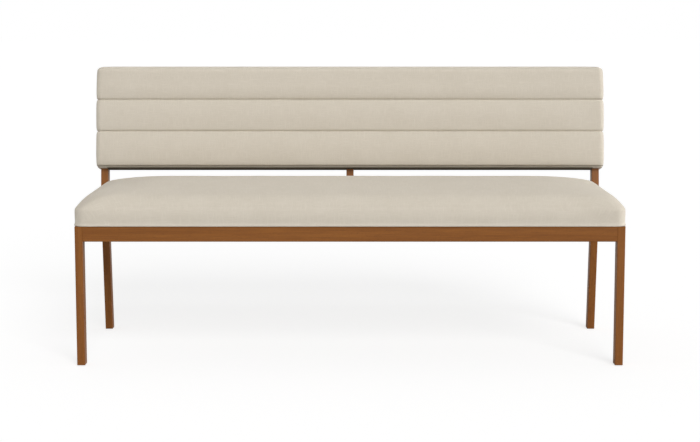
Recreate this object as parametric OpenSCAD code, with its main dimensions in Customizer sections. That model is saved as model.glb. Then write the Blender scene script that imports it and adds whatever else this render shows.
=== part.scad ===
// Upholstered bench: a crowned seat and a channelled back on a slim wooden frame.
// X runs along the bench, Y from front to rear, Z up from the floor.

/* [Overall] */
// Width over the wooden frame
frame_w = 1524; // [1200:1:1800]
// Height of the top of the seat frame above the floor
rail_top = 392; // [350:1:430]
// Depth from the front face of the front legs to the bend of the rear legs
seat_d = 493; // [430:1:540]
// Slope of the rear legs below the seat, in degrees
leg_rake = 7.25; // [2:0.25:9]
// Recline of the posts and of the back, in degrees
back_lean = 8; // [5:0.5:12]

/* [Legs and rails] */
// Width of every leg and post, seen from the front
leg_w = 22; // [20:0.5:30]
// Depth of the front legs
front_leg_d = 38; // [34:1:46]
// Depth of the rear legs and end posts, square to their slope
rear_leg_d = 36; // [34:1:46]
// Length of the curve at the rear of the bend in the rear legs, each way
bend_h = 46; // [20:1:60]
// Break of the sharp edges of the legs
edge_ease = 1.5; // [0.5:0.1:3]
// Height of the seat rails
rail_h = 42; // [36:1:56]
// Thickness of the front rail
front_rail_t = 22; // [20:1:30]
// Thickness of the rear rail and depth of the centre post
rear_rail_t = 30; // [28:1:33]
// Thickness of the bearer that carries the rear edge of the seat
bearer_t = 22; // [18:1:30]
// Width of a cross rail
cross_rail_w = 24; // [20:1:34]
// Height of a cross rail
cross_rail_h = 36; // [30:1:36]

/* [Joints and fixings] */
// Thickness of a tenon
tenon_t = 8; // [6:0.5:10]
// Length of the tenons of the side rails and of the centre post
tenon_l = 14; // [10:0.5:15]
// Wood of a leg or post left past the tenons of the long rails
tenon_cover = 8; // [7:0.5:9]
// Shoulder above and below a tenon
tenon_shoulder = 5; // [3:0.5:8]
// Length of a stub tenon in a rail
stub_l = 10; // [8:0.5:12]
// Gap round a tenon in its mortise
joint_gap = 0.15; // [0.1:0.05:0.3]
// Spare depth past the end of a tenon
mortise_spare = 1; // [0.5:0.5:2]
// Long sides of a corner block
block_l = 80; // [74:1:100]
// Width of the two end flats of a corner block
block_end = 14; // [12:1:20]
// Height of a corner block
block_h = 30; // [26:1:36]
// Radius of a wood screw
screw_r = 2.2; // [1.5:0.1:3]
// Radius of a screw head
screw_head_r = 4.2; // [3.6:0.1:5]
// Length of the screws in the wooden frame
frame_screw_l = 36; // [32:1:40]
// Length of the screws that hold the seat down
seat_screw_l = 30; // [26:1:34]
// Length of the screws that hold the panel of the back
panel_screw_l = 20; // [16:1:24]
// Gap round a screw in its hole
screw_gap = 0.15; // [0.1:0.05:0.3]
// Radius of a glide under a foot
glide_r = 8; // [6:0.5:9]
// Height of a glide below the foot
glide_h = 2; // [1.5:0.5:4]
// Radius of the nail of a glide
nail_r = 1.3; // [1:0.1:2]
// Length of the nail of a glide
nail_l = 16; // [12:1:22]

/* [Seat] */
// Thickness of the plywood deck of the seat
deck_t = 12; // [10:1:15]
// Height of the widest line of the seat above its rails
seat_wide_h = 34; // [28:1:40]
// How far the seat stands out past the frame at its widest line
seat_bulge = 2.5; // [1.5:0.1:4]
// How far the seat stands out past the frame at its lower edge
seat_edge_out = 1; // [0:0.1:1.4]
// Width of the rolled upper edge of the seat
roll_w = 36; // [28:1:48]
// Height of the rolled upper edge above the widest line
roll_h = 48; // [38:1:56]
// Rise of the crown above the rolled edge
crown_h = 33; // [16:1:44]
// Radius of the seat's corners, seen from above
seat_corner_r = 18; // [14:1:30]
// Gap between the seat and the rear legs
seat_back_gap = 3; // [2:0.5:6]
// Width of the fabric turned under the seat
seat_hem_w = 22; // [16:1:26]
// Thickness of the wadding of the seat
seat_wadding_t = 6; // [4:0.5:9]
// Radius of the breathing holes in the deck
vent_r = 12; // [8:1:16]
// Pitch of the breathing holes in the deck
vent_pitch = 120; // [90:5:160]

/* [Back] */
// Height of the back's lower edge above the seat rails, along the post
back_low = 119; // [104:1:134]
// Height of the plain strip under the lowest seam
strip_h = 4; // [3:0.5:7]
// Height of the lowest channel
low_channel_h = 106; // [92:1:120]
// Height of the middle channel
mid_channel_h = 96; // [84:1:110]
// Height of the top channel
top_channel_h = 99; // [86:1:112]
// Thickness of the foam in the channels
back_foam_t = 24; // [18:1:34]
// How far the foam stops short of the ends of the back
foam_end_in = 8; // [6:0.5:12]
// Thickness of the wadding of the back
back_wadding_t = 8; // [6:0.5:12]
// Thickness of the plywood panel behind the foam
panel_t = 6; // [4:0.5:9]
// Thickness of the board that closes the rear of the back
board_t = 3; // [2:0.5:5]
// How much lower the underside of the back is at the rear
under_drop = 7; // [2:0.5:10]
// Radius of the front edges at the ends of the back
end_r = 15; // [12:0.5:20]
// Radius of the top edge of the back
top_r = 16; // [12:0.5:20]
// Radius of the rear edges of the back
rear_r = 4; // [3:0.5:6]
// Width of the stiles in the frame of the back
stile_w = 40; // [34:1:50]
// Height of the two rails in the frame of the back
back_rail_h = 40; // [34:1:50]
// Width of the turned edge at the rear of the back
rear_turn_w = 20; // [16:1:30]
// Inset of the rear cover's seam from the edge of the back
rear_seam_in = 6; // [5:0.5:10]

/* [Fabric] */
// Thickness of the covers with their folded edges
cover_t = 1.2; // [0.8:0.1:1.6]
// Thickness of the dust cover under the back
dust_t = 1; // [0.6:0.1:1.4]
// Gap between layers of cover, wadding and foam
soft_gap = 0.3; // [0.2:0.05:0.5]

/* [Hidden] */
$fn = 48;
wood = "#87552d";
post_wood = "#8c5a34";
inner_wood = "#c9a877";
ply = "#cdb283";
fabric = "#cdc4b4";
foam = "#e9dfb8";
wadding = "#f2f1ec";
dust = "#3b3934";
steel = "#a8a9ab";
nylon = "#4a3a2c";

// Overrun of every cut past the face that it opens
cut = 1;

// Heights of the seat frame
rail_low = rail_top - rail_h;
inner_w = frame_w - 2 * leg_w;
cross_low = rail_top - cross_rail_h;
cross_places = [for (side = [-1:1]) side * frame_w / 4];
bearer_y = seat_d - bearer_t;

// Length of the tenons of the long rails
long_tenon_l = leg_w - tenon_cover;
// Web of wood between the two mortises of a rear leg
tenon_web = 3;
rear_tenon_n = tenon_l + mortise_spare + tenon_web;

// Screws: wood left past the point of a frame screw, and the distance of the seat's
// screws and of the block's own screws from the corner
screw_cover = 10;
block_hold = 30;
block_fix = block_l - 2 * block_end;
tip_r = screw_r / 4;
head_h = screw_head_r - screw_r;
deck_skin = 3;

// Plan of the seat, measured as an inset from these edges
seat_edge_y = seat_d - seat_back_gap;
seat_mid_y = seat_edge_y / 2;
deck_low = rail_top + cover_t;
deck_top = deck_low + deck_t;
wide_z = rail_top + seat_wide_h;
roll_z = wide_z + roll_h;
ridge_half = 3;
crown_w = seat_mid_y - ridge_half - roll_w;
seat_wadding_in = cover_t + soft_gap;
seat_foam_in = seat_wadding_in + seat_wadding_t + soft_gap;
deck_in = seat_foam_in - seat_edge_out + soft_gap;
corner_steps = 5;
wall_steps = 2;
roll_steps = 5;
crown_steps = 8;
// Handles of the curve that rolls the edge, as shares of its height and width
roll_up_share = 0.38;
roll_in_share = 0.45;
// Growth of the corner radius with the inset, which rounds the crown in plan
corner_growth_share = 0.3;
// Largest corner radius of a ring, as a share of half its depth
ridge_round_share = 0.9;

// Section of the back: n is measured rearward from the front face of the posts,
// s upward along them from the bend
pad_side = cover_t + soft_gap + back_wadding_t + soft_gap;
back_half = frame_w / 2 + pad_side;
face_n = -(pad_side + back_foam_t + panel_t);
rear_n = rear_leg_d + board_t + soft_gap + cover_t;
seam_low = back_low + strip_h;
seam_mid = seam_low + low_channel_h;
seam_high = seam_mid + mid_channel_h;
back_top = seam_high + top_channel_h;
post_top = back_top - pad_side;
// How far the seams draw the cover in, as shares of the wadding behind it
dip_share = 0.85;
side_dip_share = 0.28;
low_tuck_share = 0.94;
low_side_share = 0.7;
// Fullness of a channel between its seams: 2 is a plain arch, more is squarer
channel_square = 2.6;
channel_sharp = 0.6;
channel_steps = 8;
round_steps = 4;
front_corner_steps = 4;

// Rear reach of the bench and the shift that centres it on the origin
rear_cover_top = back_top - rear_seam_in;
rear_y = seat_d + (rear_n + cover_t) * cos(back_lean) + rear_cover_top * sin(back_lean);
centre_y = (rear_y - seat_bulge) / 2;

// Places on the sloping members, as [y, z]
function leg_at(n, z) = [seat_d + n / cos(leg_rake) + (rail_top - z) * tan(leg_rake), z];
function post_at(n, z) = [seat_d + n / cos(back_lean) + (z - rail_top) * tan(back_lean), z];
function post_point(n, s) =
    [seat_d + n * cos(back_lean) + s * sin(back_lean), rail_top - n * sin(back_lean) + s * cos(back_lean)];
// Height of the back's underside, which falls to the rear
function under_s(n) = back_low - under_drop * (n - face_n) / (rear_n - face_n);
// Lowest wood or foam in the back, just above the turned hem
function core_s(n) = under_s(n) + cover_t + soft_gap;

function quad_bezier(a, b, c, t) = (1 - t) * (1 - t) * a + 2 * t * (1 - t) * b + t * t * c;

// A closed ring of points round a rectangle with rounded corners, seen from above
function ring(x0, x1, y0, y1, rf, rr, front_steps, rear_steps) = [
    for (k = [0:front_steps]) arc_point(x0 + rf, y0 + rf, rf, 180 + 90 * k / front_steps),
    for (k = [0:front_steps]) arc_point(x1 - rf, y0 + rf, rf, 270 + 90 * k / front_steps),
    for (k = [0:rear_steps]) arc_point(x1 - rr, y1 - rr, rr, 90 * k / rear_steps),
    for (k = [0:rear_steps]) arc_point(x0 + rr, y1 - rr, rr, 90 + 90 * k / rear_steps)
];
function arc_point(x, y, r, a) = [x + r * cos(a), y + r * sin(a)];

// A skin over a stack of rings with equal counts, closed by a flat cap at each end
module ring_stack(rings) {
    count = len(rings[0]);
    last = len(rings) - 1;
    points = [for (r = rings) each r];
    walls = [
        for (i = [0:last - 1], j = [0:count - 1])
            let (k = (j + 1) % count, a = i * count, b = a + count)
                each [[a + j, a + k, b + k], [a + j, b + k, b + j]]
    ];
    caps = [[for (j = [0:count - 1]) count - 1 - j], [for (j = [0:count - 1]) last * count + j]];
    polyhedron(points = points, faces = concat(walls, caps), convexity = 8);
}

// A leg with broken edges through stations given as [front point, rear point]
module eased_leg(x0, stations) {
    ring_stack([
        for (i = [len(stations) - 1:-1:0]) eased_section(x0, x0 + leg_w, stations[i][0], stations[i][1])
    ]);
}
function eased_section(x0, x1, f, r) =
    let (u = (r - f) / norm(r - f) * edge_ease, e = edge_ease)
        [for (p = [[x0 + e, f], [x1 - e, f], [x1, f + u], [x1, r - u],
                   [x1 - e, r], [x0 + e, r], [x0, r - u], [x0, f + u]])
            [p[0], p[1][0], p[1][1]]];

// Draws a [y, z] outline and gives it a width along X
module along_x(x0, width) {
    translate([x0, 0, 0]) rotate([90, 0, 90]) linear_extrude(width) children();
}
module span_x(half) {
    along_x(-half, 2 * half) children();
}
module on_back() {
    translate([0, seat_d, rail_top]) rotate([-back_lean, 0, 0]) children();
}
module in_place() {
    translate([0, -centre_y, 0]) children();
}
module box(low, high) {
    translate(low) cube(high - low);
}

// Wood screw with its head's face at the origin, driven towards +Z
module screw(length) {
    rotate_extrude() polygon([
        [0, 0], [screw_head_r, 0], [screw_r, head_h], [screw_r, length - screw_r],
        [tip_r, length], [0, length]
    ]);
}
// Its hole, open behind the head for the access length
module screw_hole(length, access) {
    r = screw_r + screw_gap;
    head = screw_head_r + screw_gap;
    rotate_extrude() polygon([
        [0, -access], [head, -access], [head, 0], [r, head_h], [r, length + screw_gap],
        [0, length + screw_gap]
    ]);
}

// Tongues that run the length of a member and make its tenons, and their mortises
module front_rail_tongue(gap, spare) {
    mid = front_rail_t / 2;
    span_x(inner_w / 2 + long_tenon_l + spare)
        translate([mid - tenon_t / 2 - gap, rail_low + tenon_shoulder - gap])
            square([tenon_t + 2 * gap, rail_h - 2 * tenon_shoulder + 2 * gap]);
}
module rear_rail_tongue(gap, spare) {
    low = rail_low + tenon_shoulder - gap;
    high = rail_top - tenon_shoulder + gap;
    n0 = rear_tenon_n - gap;
    n1 = rear_tenon_n + tenon_t + gap;
    span_x(inner_w / 2 + long_tenon_l + spare)
        polygon([leg_at(n0, low), leg_at(n1, low), leg_at(n1, high), leg_at(n0, high)]);
}
module side_rail_tongue(side, gap, spare) {
    low = rail_low + tenon_shoulder - gap;
    high = rail_top - tenon_shoulder + gap;
    reach = tenon_l + spare;
    y0 = front_leg_d - reach;
    mid = side * (frame_w - leg_w) / 2;
    along_x(mid - tenon_t / 2 - gap, tenon_t + 2 * gap)
        polygon([[y0, low], leg_at(reach, low), leg_at(reach, high), [y0, high]]);
}
module cross_rail_tongue(mid, gap, spare) {
    reach = stub_l + spare;
    box([mid - tenon_t / 2 - gap, front_rail_t - reach, cross_low + tenon_shoulder - gap],
        [mid + tenon_t / 2 + gap, bearer_y + reach, rail_top - tenon_shoulder + gap]);
}
module cross_rail_tongues(gap, spare) {
    for (mid = cross_places) cross_rail_tongue(mid, gap, spare);
}
// The tongues of the back run along X at the middle of the posts' depth
module back_rail_tongue(s0, s1, gap, spare) {
    half = inner_w / 2 + long_tenon_l + spare;
    mid = rear_leg_d / 2;
    box([-half, mid - tenon_t / 2 - gap, s0 + tenon_shoulder - gap],
        [half, mid + tenon_t / 2 + gap, s1 - tenon_shoulder + gap]);
}
module back_stile_tongue(mid, gap, spare) {
    half = stile_w / 2 - tenon_shoulder + gap;
    n = rear_leg_d / 2;
    box([mid - half, n - tenon_t / 2 - gap, low_rail_top - stub_l - spare],
        [mid + half, n + tenon_t / 2 + gap, top_rail_low + stub_l + spare]);
}
low_rail_top = core_s(0) + back_rail_h;
top_rail_low = post_top - back_rail_h;

// Foot and head tenons of the centre post
module post_foot_tenon(gap, spare) {
    depth = tenon_l + tenon_shoulder + spare;
    box([-tenon_t / 2 - gap, seat_d + rear_rail_t / 3 - gap, rail_top - depth],
        [tenon_t / 2 + gap, seat_d + rear_rail_t * 2 / 3 + gap, rail_top + cut]);
}
module post_head_tenon(gap, spare) {
    box([-tenon_t / 2 - gap, rear_rail_t / 3 - gap, core_s(rear_rail_t) - cut],
        [tenon_t / 2 + gap, rear_rail_t * 2 / 3 + gap, core_s(0) + tenon_l + spare]);
}

// Where the fixings go: each child is placed with +Z along the screw
module at_block_screws() {
    z = rail_top - block_h / 2;
    head = screw_cover + frame_screw_l;
    for (side = [-1, 1]) {
        x = side * (inner_w / 2 - block_fix);
        translate([x, head, z]) rotate([90, 0, 0]) children();
        translate([x, seat_d - head, z]) rotate([-90, 0, 0]) children();
        for (y = [front_rail_t + block_fix, bearer_y - block_fix])
            translate([side * (frame_w / 2 - head), y, z]) rotate([0, side * 90, 0]) children();
    }
}
module at_bearer_screws() {
    z = rail_top - rail_h / 2;
    for (side = [-1, 1], share = [1 / 8, 3 / 8, 5 / 8])
        translate([side * share * inner_w / 2, bearer_y, z]) rotate([-90, 0, 0]) children();
}
module at_seat_screws() {
    z = deck_top - deck_skin - seat_screw_l;
    for (side = [-1, 1], y = [front_rail_t + block_hold, bearer_y - block_hold])
        translate([side * (inner_w / 2 - block_hold), y, z]) children();
    for (x = cross_places, share = [1 / 3, 2 / 3])
        translate([x, seat_edge_y * share, z]) children();
}
module at_panel_screws() {
    mids = concat([-1, 1] * (frame_w - leg_w) / 2, cross_places);
    for (x = mids, share = [1 / 3, 2 / 3])
        on_back() translate([x, -panel_t, low_rail_top + (top_rail_low - low_rail_top) * share])
            rotate([-90, 0, 0]) children();
}
module at_glides() {
    foot_y = leg_at(rear_leg_d / 2, 0)[0];
    for (side = [-1, 1], y = [front_leg_d / 2, foot_y])
        translate([side * (frame_w - leg_w) / 2, y, 0]) children();
}

// Legs and posts
module front_leg(side) {
    x0 = side < 0 ? -frame_w / 2 : frame_w / 2 - leg_w;
    difference() {
        eased_leg(x0, [for (z = [glide_h, rail_top]) [[0, z], [front_leg_d, z]]]);
        front_rail_tongue(joint_gap, mortise_spare);
        side_rail_tongue(side, joint_gap, mortise_spare);
        at_glides() nail_hole();
    }
}
module front_leg_left() { color(wood) in_place() front_leg(-1); }
module front_leg_right() { color(wood) in_place() front_leg(1); }

// The rear leg and post are one piece: straight in front, curved behind the bend
module rear_leg(side) {
    x0 = side < 0 ? -frame_w / 2 : frame_w / 2 - leg_w;
    low = rail_top - bend_h;
    high = rail_top + bend_h;
    knee = post_at(rear_leg_d, rail_top);
    steps = 8;
    bend = [
        for (k = [0:steps])
            let (z = low + (high - low) * k / steps)
                [z < rail_top ? leg_at(0, z) : post_at(0, z),
                 quad_bezier(leg_at(rear_leg_d, low), knee, post_at(rear_leg_d, high), k / steps)]
    ];
    foot = [leg_at(0, glide_h), leg_at(rear_leg_d, glide_h)];
    head = [post_point(0, post_top), post_point(rear_leg_d, post_top)];
    difference() {
        eased_leg(x0, concat([foot], bend, [head]));
        rear_rail_tongue(joint_gap, mortise_spare);
        side_rail_tongue(side, joint_gap, mortise_spare);
        on_back() back_rail_tongues(joint_gap, mortise_spare);
        at_glides() nail_hole();
        at_panel_screws() screw_hole(panel_screw_l, 0);
    }
}
module back_rail_tongues(gap, spare) {
    back_rail_tongue(core_s(0), low_rail_top, gap, spare);
    back_rail_tongue(top_rail_low, post_top, gap, spare);
}
module rear_leg_left() { color(wood) in_place() rear_leg(-1); }
module rear_leg_right() { color(wood) in_place() rear_leg(1); }

module centre_post() {
    foot = [post_at(0, rail_top), post_at(rear_rail_t, rail_top)];
    head = [post_point(0, core_s(0)), post_point(rear_rail_t, core_s(rear_rail_t))];
    color(post_wood) in_place() {
        eased_leg(-leg_w / 2, [foot, head]);
        post_foot_tenon(0, 0);
        on_back() post_head_tenon(0, 0);
    }
}

// Rails of the seat frame, with their lower edges broken
module front_rail() {
    e = edge_ease;
    color(wood) in_place() difference() {
        union() {
            span_x(inner_w / 2) polygon([
                [0, rail_low + e], [e, rail_low], [front_rail_t - e, rail_low], [front_rail_t, rail_low + e],
                [front_rail_t, rail_top], [0, rail_top]
            ]);
            front_rail_tongue(0, 0);
        }
        cross_rail_tongues(joint_gap, mortise_spare);
        at_block_screws() screw_hole(frame_screw_l, 0);
    }
}
module rear_rail() {
    color(wood) in_place() difference() {
        union() {
            span_x(inner_w / 2) polygon([
                leg_at(0, rail_low), leg_at(rear_rail_t, rail_low),
                leg_at(rear_rail_t, rail_top), leg_at(0, rail_top)
            ]);
            rear_rail_tongue(0, 0);
        }
        post_foot_tenon(joint_gap, mortise_spare);
        at_bearer_screws() screw_hole(frame_screw_l, 0);
    }
}
module side_rail(side) {
    x0 = side < 0 ? -frame_w / 2 : frame_w / 2 - leg_w;
    e = edge_ease;
    difference() {
        union() {
            along_x(x0, leg_w) polygon([
                [front_leg_d, rail_low], leg_at(0, rail_low), leg_at(0, rail_top), [front_leg_d, rail_top]
            ]);
            side_rail_tongue(side, 0, 0);
        }
        at_block_screws() screw_hole(frame_screw_l, 0);
        for (x = [x0, x0 + leg_w])
            translate([x, 0, rail_low]) rotate([0, 45, 0])
                translate([-e, -cut, -e] / sqrt(2)) cube([e * sqrt(2), seat_d * 2, e * sqrt(2)]);
    }
}
module side_rail_left() { color(wood) in_place() side_rail(-1); }
module side_rail_right() { color(wood) in_place() side_rail(1); }

// Bearer against the rear rail, square in front and raked behind
module rear_bearer() {
    color(inner_wood) in_place() difference() {
        span_x(inner_w / 2) polygon([
            [bearer_y, rail_low], leg_at(0, rail_low), leg_at(0, rail_top), [bearer_y, rail_top]
        ]);
        cross_rail_tongues(joint_gap, mortise_spare);
        at_block_screws() screw_hole(frame_screw_l, 0);
        at_bearer_screws() screw_hole(frame_screw_l, cut);
    }
}
module cross_rail(mid) {
    difference() {
        union() {
            box([mid - cross_rail_w / 2, front_rail_t, cross_low],
                [mid + cross_rail_w / 2, bearer_y, rail_top]);
            cross_rail_tongue(mid, 0, 0);
        }
        at_seat_screws() screw_hole(seat_screw_l, rail_h);
    }
}
module cross_rail_left() { color(inner_wood) in_place() cross_rail(cross_places[0]); }
module cross_rail_centre() { color(inner_wood) in_place() cross_rail(cross_places[1]); }
module cross_rail_right() { color(inner_wood) in_place() cross_rail(cross_places[2]); }

// Corner block, drawn in the front left corner and turned into the others
module corner_block(side, rear) {
    outline = [[0, 0], [block_l, 0], [block_l, block_end], [block_end, block_l], [0, block_l]];
    difference() {
        translate([side * inner_w / 2, rear ? bearer_y : front_rail_t, rail_top - block_h])
            mirror([side > 0 ? 1 : 0, 0, 0]) mirror([0, rear ? 1 : 0, 0])
                linear_extrude(block_h) polygon(outline);
        at_block_screws() screw_hole(frame_screw_l, block_l);
        at_seat_screws() screw_hole(seat_screw_l, rail_h);
    }
}
module corner_block_front_left() { color(inner_wood) in_place() corner_block(-1, false); }
module corner_block_front_right() { color(inner_wood) in_place() corner_block(1, false); }
module corner_block_rear_left() { color(inner_wood) in_place() corner_block(-1, true); }
module corner_block_rear_right() { color(inner_wood) in_place() corner_block(1, true); }

module corner_block_screws() { color(steel) in_place() at_block_screws() screw(frame_screw_l); }
module bearer_screws() { color(steel) in_place() at_bearer_screws() screw(frame_screw_l); }
module seat_screws() { color(steel) in_place() at_seat_screws() screw(seat_screw_l); }

// Nailed glide with a chamfered rim
module glide() {
    rim = glide_h / 3;
    rotate_extrude() polygon([
        [0, 0], [glide_r - rim, 0], [glide_r, rim], [glide_r, glide_h], [nail_r, glide_h],
        [nail_r, glide_h + nail_l - nail_r], [nail_r / 4, glide_h + nail_l], [0, glide_h + nail_l]
    ]);
}
module nail_hole() {
    translate([0, 0, -cut]) cylinder(r = nail_r + screw_gap, h = cut + glide_h + nail_l + mortise_spare);
}
module one_glide(side, rear) {
    y = rear ? leg_at(rear_leg_d / 2, 0)[0] : front_leg_d / 2;
    color(nylon) in_place() translate([side * (frame_w - leg_w) / 2, y, 0]) glide();
}
module glide_front_left() { one_glide(-1, false); }
module glide_front_right() { one_glide(1, false); }
module glide_rear_left() { one_glide(-1, true); }
module glide_rear_right() { one_glide(1, true); }

// Section of the seat as [inset from the edge, z], offset inward by a layer's depth
function wall_out(z) =
    seat_edge_out + (seat_bulge - seat_edge_out) * sin(90 * (z - rail_top) / seat_wide_h);
function wall_line(base, deep) = [
    for (k = [0:wall_steps]) let (z = base + (wide_z - base) * k / wall_steps) [deep - wall_out(z), z]
];
function inward(p, t, deep) = p + [t[1], -t[0]] / norm(t) * deep;
function roll_line(deep) =
    let (slope = [crown_w, 2 * crown_h] / norm([crown_w, 2 * crown_h]),
         a = [-seat_bulge, wide_z],
         b = a + [0, roll_h * roll_up_share],
         d = [roll_w, roll_z],
         c = d - slope * roll_w * roll_in_share)
        [for (k = [1:roll_steps])
            let (t = k / roll_steps, u = 1 - t)
                inward(u * u * u * a + 3 * u * u * t * b + 3 * u * t * t * c + t * t * t * d,
                       u * u * (b - a) + 2 * u * t * (c - b) + t * t * (d - c), deep)];
function crown_line(deep) = [
    for (k = [1:crown_steps])
        let (t = k / crown_steps)
            inward([roll_w + crown_w * t, roll_z + crown_h * (1 - (1 - t) * (1 - t))],
                   [crown_w, 2 * crown_h * (1 - t)], deep)
];
function seat_line(base, deep) = concat(wall_line(base, deep), roll_line(deep), crown_line(deep));
function reversed(list) = [for (i = [len(list) - 1:-1:0]) list[i]];

// Corner radius of the seat's plan at an inset
function plan_r(d) = seat_corner_r + d * (d < 0 ? -1 : corner_growth_share);
// One ring of the seat at an inset and a height
function seat_ring(p) =
    let (d = p[0], r = plan_r(d),
         half_x = frame_w / 2 - d, half_y = seat_mid_y - d, rr = min(r, half_y * ridge_round_share))
        [for (q = ring(-half_x, half_x, seat_mid_y - half_y, seat_mid_y + half_y, rr, rr,
                       corner_steps, corner_steps))
            [q[0], q[1], p[1]]];
module seat_form(line) {
    ring_stack([for (p = line) seat_ring(p)]);
}
// A rounded plate that follows the seat's plan at an inset
module seat_plate(inset, low, high) {
    r = plan_r(inset);
    x = frame_w / 2 - inset;
    y = seat_mid_y - inset;
    translate([0, seat_mid_y, low]) linear_extrude(high - low) {
        square([2 * x, 2 * (y - r)], center = true);
        square([2 * (x - r), 2 * y], center = true);
        for (i = [-1, 1], j = [-1, 1]) translate([i * (x - r), j * (y - r)]) circle(r);
    }
}
module seat_deck() {
    rows = [1 / 4, 1 / 2, 3 / 4];
    reach = floor((frame_w / 2 - 2 * vent_r) / vent_pitch - 1 / 2);
    color(ply) in_place() difference() {
        seat_plate(deck_in, deck_low, deck_top);
        for (k = [0:reach], side = [-1, 1], row = rows)
            translate([side * (k + 1 / 2) * vent_pitch, seat_edge_y * row, deck_low - cut])
                cylinder(r = vent_r, h = deck_t + 2 * cut);
        at_seat_screws() screw_hole(seat_screw_l, 0);
    }
}
module seat_foam() {
    color(foam) in_place() seat_form(reversed(seat_line(deck_top, seat_foam_in)));
}
module seat_wadding() {
    outer = seat_line(deck_low, seat_wadding_in);
    inner = seat_line(deck_low, seat_wadding_in + seat_wadding_t);
    color(wadding) in_place() seat_form(concat(reversed(outer), inner));
}
// The cover is one shell with its lower edge turned under the deck
module seat_cover() {
    outer = seat_line(rail_top, 0);
    inner = seat_line(deck_low, cover_t);
    hem = [[seat_hem_w, rail_top], [seat_hem_w, deck_low]];
    color(fabric) in_place() seat_form(concat(reversed(outer), hem, inner));
}
module seat_dust_cover() {
    color(dust) in_place() difference() {
        seat_plate(seat_hem_w + dust_t, rail_top, deck_low);
        at_seat_screws() screw_hole(seat_screw_l, 0);
    }
}

// Frame of the back, drawn square and leaned with the posts
module back_bottom_rail() {
    color(inner_wood) in_place() difference() {
        on_back() union() {
            span_x(inner_w / 2) polygon([
                [0, core_s(0)], [rear_leg_d, core_s(rear_leg_d)],
                [rear_leg_d, low_rail_top], [0, low_rail_top]
            ]);
            back_rail_tongue(core_s(0), low_rail_top, 0, 0);
        }
        on_back() post_head_tenon(joint_gap, mortise_spare);
        on_back() back_stile_tongues(joint_gap, mortise_spare);
    }
}
module back_top_rail() {
    color(inner_wood) in_place() on_back() difference() {
        union() {
            box([-inner_w / 2, 0, top_rail_low], [inner_w / 2, rear_leg_d, post_top]);
            back_rail_tongue(top_rail_low, post_top, 0, 0);
        }
        back_stile_tongues(joint_gap, mortise_spare);
    }
}
module back_stile_tongues(gap, spare) {
    for (mid = cross_places) back_stile_tongue(mid, gap, spare);
}
module back_stile(mid) {
    difference() {
        on_back() union() {
            box([mid - stile_w / 2, 0, low_rail_top], [mid + stile_w / 2, rear_leg_d, top_rail_low]);
            back_stile_tongue(mid, 0, 0);
        }
        at_panel_screws() screw_hole(panel_screw_l, 0);
    }
}
module back_stile_left() { color(inner_wood) in_place() back_stile(cross_places[0]); }
module back_stile_centre() { color(inner_wood) in_place() back_stile(cross_places[1]); }
module back_stile_right() { color(inner_wood) in_place() back_stile(cross_places[2]); }

// Plain layers of the back that follow its falling underside: n0 to n1, up to the posts' top
module back_layer(n0, n1) {
    span_x(frame_w / 2) polygon([[n0, core_s(n0)], [n1, core_s(n1)], [n1, post_top], [n0, post_top]]);
}
module back_panel() {
    color(ply) in_place() difference() {
        on_back() back_layer(-panel_t, 0);
        at_panel_screws() screw_hole(panel_screw_l, cut);
    }
}
module back_panel_screws() { color(steel) in_place() at_panel_screws() screw(panel_screw_l); }
module back_board() { color(ply) in_place() on_back() back_layer(rear_leg_d, rear_leg_d + board_t); }

// One foam strip for each channel, with its front edges rounded off at the seams
module back_foam(s0, s1) {
    r = back_foam_t / 4;
    front = -panel_t - back_foam_t;
    span_x(frame_w / 2 - foam_end_in) union() {
        translate([front + r, s0]) square([back_foam_t - r, s1 - s0]);
        translate([front, s0 + r]) square([back_foam_t, s1 - s0 - 2 * r]);
        for (s = [s0 + r, s1 - r]) translate([front + r, s]) circle(r);
    }
}
module back_foam_low() { color(foam) in_place() on_back() back_foam(core_s(face_n), seam_mid - soft_gap); }
module back_foam_middle() { color(foam) in_place() on_back() back_foam(seam_mid, seam_high - soft_gap); }
module back_foam_top() { color(foam) in_place() on_back() back_foam(seam_high, post_top); }

// Fullness of a channel at a share of its height: nothing at its seams, 1 between them
function puff(t) = pow(max(1 - pow(abs(2 * t - 1), channel_square), 0), channel_sharp);
function spaced(k) = (1 - cos(180 * k / channel_steps)) / 2;
// Levels of the back as [s, front inset, side inset, fall to the rear, rear inset]
function channel_levels(s0, h, draw, side_draw, first, last) = [
    for (k = [first:last])
        let (t = spaced(k), in = 1 - puff(t))
            [s0 + h * t, draw * in, side_draw * in, fall(s0 + h * t), 0]
];
function fall(s) = under_drop * max(1 - (s - back_low) / low_channel_h, 0);
dip = back_wadding_t * dip_share;
side_dip = back_wadding_t * side_dip_share;
low_tuck = back_wadding_t * low_tuck_share;
low_side = back_wadding_t * low_side_share;
half_way = channel_steps / 2;
back_levels = concat(
    channel_levels(seam_low, low_channel_h, low_tuck, low_side, 0, half_way),
    channel_levels(seam_low, low_channel_h, dip, side_dip, half_way + 1, channel_steps),
    channel_levels(seam_mid, mid_channel_h, dip, side_dip, 1, channel_steps),
    channel_levels(seam_high, top_channel_h, dip, side_dip, 1, half_way)
);
// The top edge turns over on its radius, tighter at the rear, at a depth inside the cover
function top_levels(deep) = [
    for (k = [0:round_steps])
        let (a = 90 * k / round_steps, in = top_r - (top_r - deep) * cos(a) - deep)
            [back_top - top_r + (top_r - deep) * sin(a), in, in, 0,
             (rear_r - deep) * (1 - cos(a))]
];
function back_ring(level, deep) =
    let (half = back_half - level[2] - deep, n0 = face_n + level[1] + deep, n1 = rear_n - deep - level[4])
        [for (q = ring(-half, half, n0, n1, end_r - deep, rear_r - deep, front_corner_steps, 2))
            [q[0], q[1], level[0] - level[3] * (q[1] - face_n) / (rear_n - face_n)]];
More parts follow.
